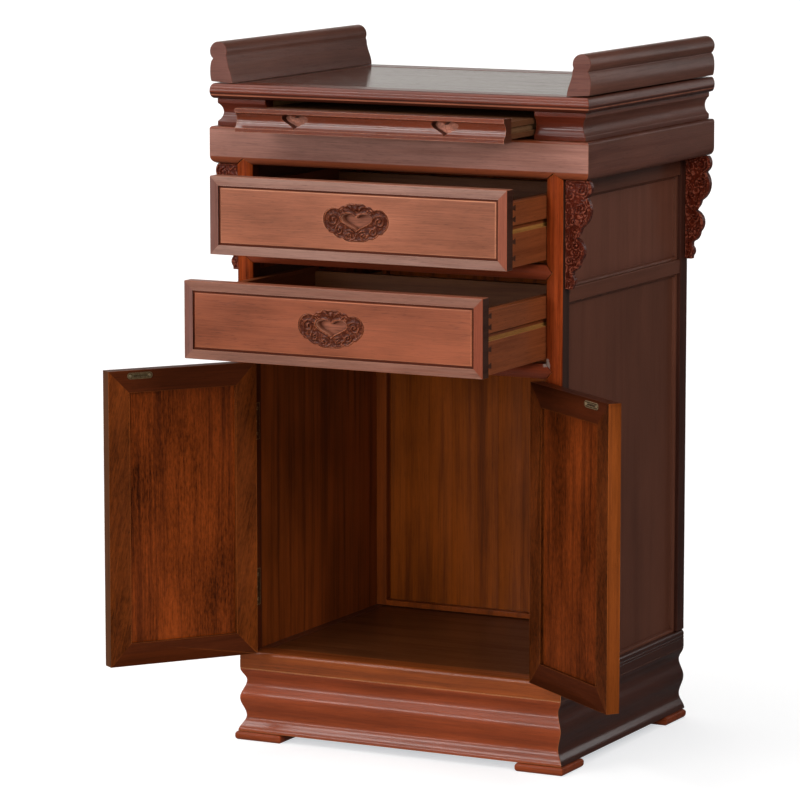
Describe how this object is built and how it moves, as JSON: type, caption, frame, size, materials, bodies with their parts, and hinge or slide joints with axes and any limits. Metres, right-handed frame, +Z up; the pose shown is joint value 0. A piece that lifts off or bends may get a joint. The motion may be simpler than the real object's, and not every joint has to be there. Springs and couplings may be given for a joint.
{
  "type": "buddhist altar cabinet",
  "caption": "Hardwood altar cabinet with raised end flanges, pull-out shelf, carved drawers over paired doors, carved brackets and a moulded plinth on pad feet.",
  "frame": {"origin": "on the floor, under the middle of the box round the cabinet as it stands open", "axes": "+Z up; -Y is the front, where the drawers and doors open; +X is the right-hand side seen from the front"},
  "size_m": [0.728, 0.5964, 0.9454],
  "materials": {
    "red_moulding": "polished red-brown lacquer",
    "dark_side": "satin dark brown lacquer",
    "warm_inside": "thin stain, matt",
    "glossy_top": "mirror-polished lacquer",
    "carved_wood": "carved and polished, dark in the hollows",
    "bare_wood": "bare to lightly stained",
    "polished_front": "satin lacquer over straight grain",
    "brass": "aged brass"
  },
  "bodies": {
    "carcass": {"plinth": "red_moulding", "base_frame": "red_moulding", "apron": "red_moulding", "waist": "red_moulding", "drawer_rail_lower": "red_moulding", "drawer_rail_upper": "red_moulding", "foot_front_left": "red_moulding", "foot_front_right": "red_moulding", "foot_back_left": "red_moulding", "foot_back_right": "red_moulding", "front_post_left": "red_moulding", "front_post_right": "red_moulding", "rear_post_left": "dark_side", "rear_post_right": "dark_side", "side_mid_rail_left": "dark_side", "side_mid_rail_right": "dark_side", "side_top_rail_left": "dark_side", "side_top_rail_right": "dark_side", "lower_side_panel_left": "dark_side", "lower_side_panel_right": "dark_side", "upper_side_panel_left": "dark_side", "upper_side_panel_right": "dark_side", "flange_left": "dark_side", "flange_right": "dark_side", "floor_board": "warm_inside", "back_frame": "warm_inside", "back_panel": "warm_inside", "deck_frame": "glossy_top", "deck_panel": "glossy_top", "bracket_front_left": "carved_wood", "bracket_front_right": "carved_wood", "bracket_back_left": "carved_wood", "bracket_back_right": "carved_wood", "shelf_guide_left": "bare_wood", "shelf_guide_right": "bare_wood", "upper_drawer_runner_left": "bare_wood", "upper_drawer_runner_right": "bare_wood", "lower_drawer_runner_left": "bare_wood", "lower_drawer_runner_right": "bare_wood"},
    "shelf": {"shelf_front": "red_moulding", "shelf_board": "bare_wood"},
    "upper_drawer": {"upper_drawer_front": "polished_front", "upper_drawer_side_left": "bare_wood", "upper_drawer_side_right": "bare_wood", "upper_drawer_bottom": "warm_inside", "upper_drawer_back": "bare_wood"},
    "lower_drawer": {"lower_drawer_front": "polished_front", "lower_drawer_side_left": "bare_wood", "lower_drawer_side_right": "bare_wood", "lower_drawer_bottom": "warm_inside", "lower_drawer_back": "bare_wood"},
    "left_door": {"left_door_frame": "red_moulding", "left_door_panel": "polished_front", "left_door_hinge_upper": "brass", "left_door_hinge_lower": "brass"},
    "right_door": {"right_door_frame": "red_moulding", "right_door_panel": "polished_front", "right_door_hinge_upper": "brass", "right_door_hinge_lower": "brass"}
  },
  "joints": [
    {"name": "shelf_slide", "type": "slide", "parent": "carcass", "child": "shelf", "axis": [0, -1, 0], "range_m": [-0.0863, 0.16]},
    {"name": "upper_drawer_slide", "type": "slide", "parent": "carcass", "child": "upper_drawer", "axis": [0, -1, 0], "range_m": [-0.1178, 0.149]},
    {"name": "lower_drawer_slide", "type": "slide", "parent": "carcass", "child": "lower_drawer", "axis": [0, -1, 0], "range_m": [-0.187, 0.08]},
    {"name": "left_door_hinge", "type": "hinge", "parent": "carcass", "child": "left_door", "pos_m": [-0.23949, -0.11047, 0.324], "axis": [0, 0, -1], "range_deg": [-126.5, 48.5]},
    {"name": "right_door_hinge", "type": "hinge", "parent": "carcass", "child": "right_door", "pos_m": [0.19551, -0.11047, 0.324], "axis": [0, 0, 1], "range_deg": [-142.5, 32.5]}
  ]
}
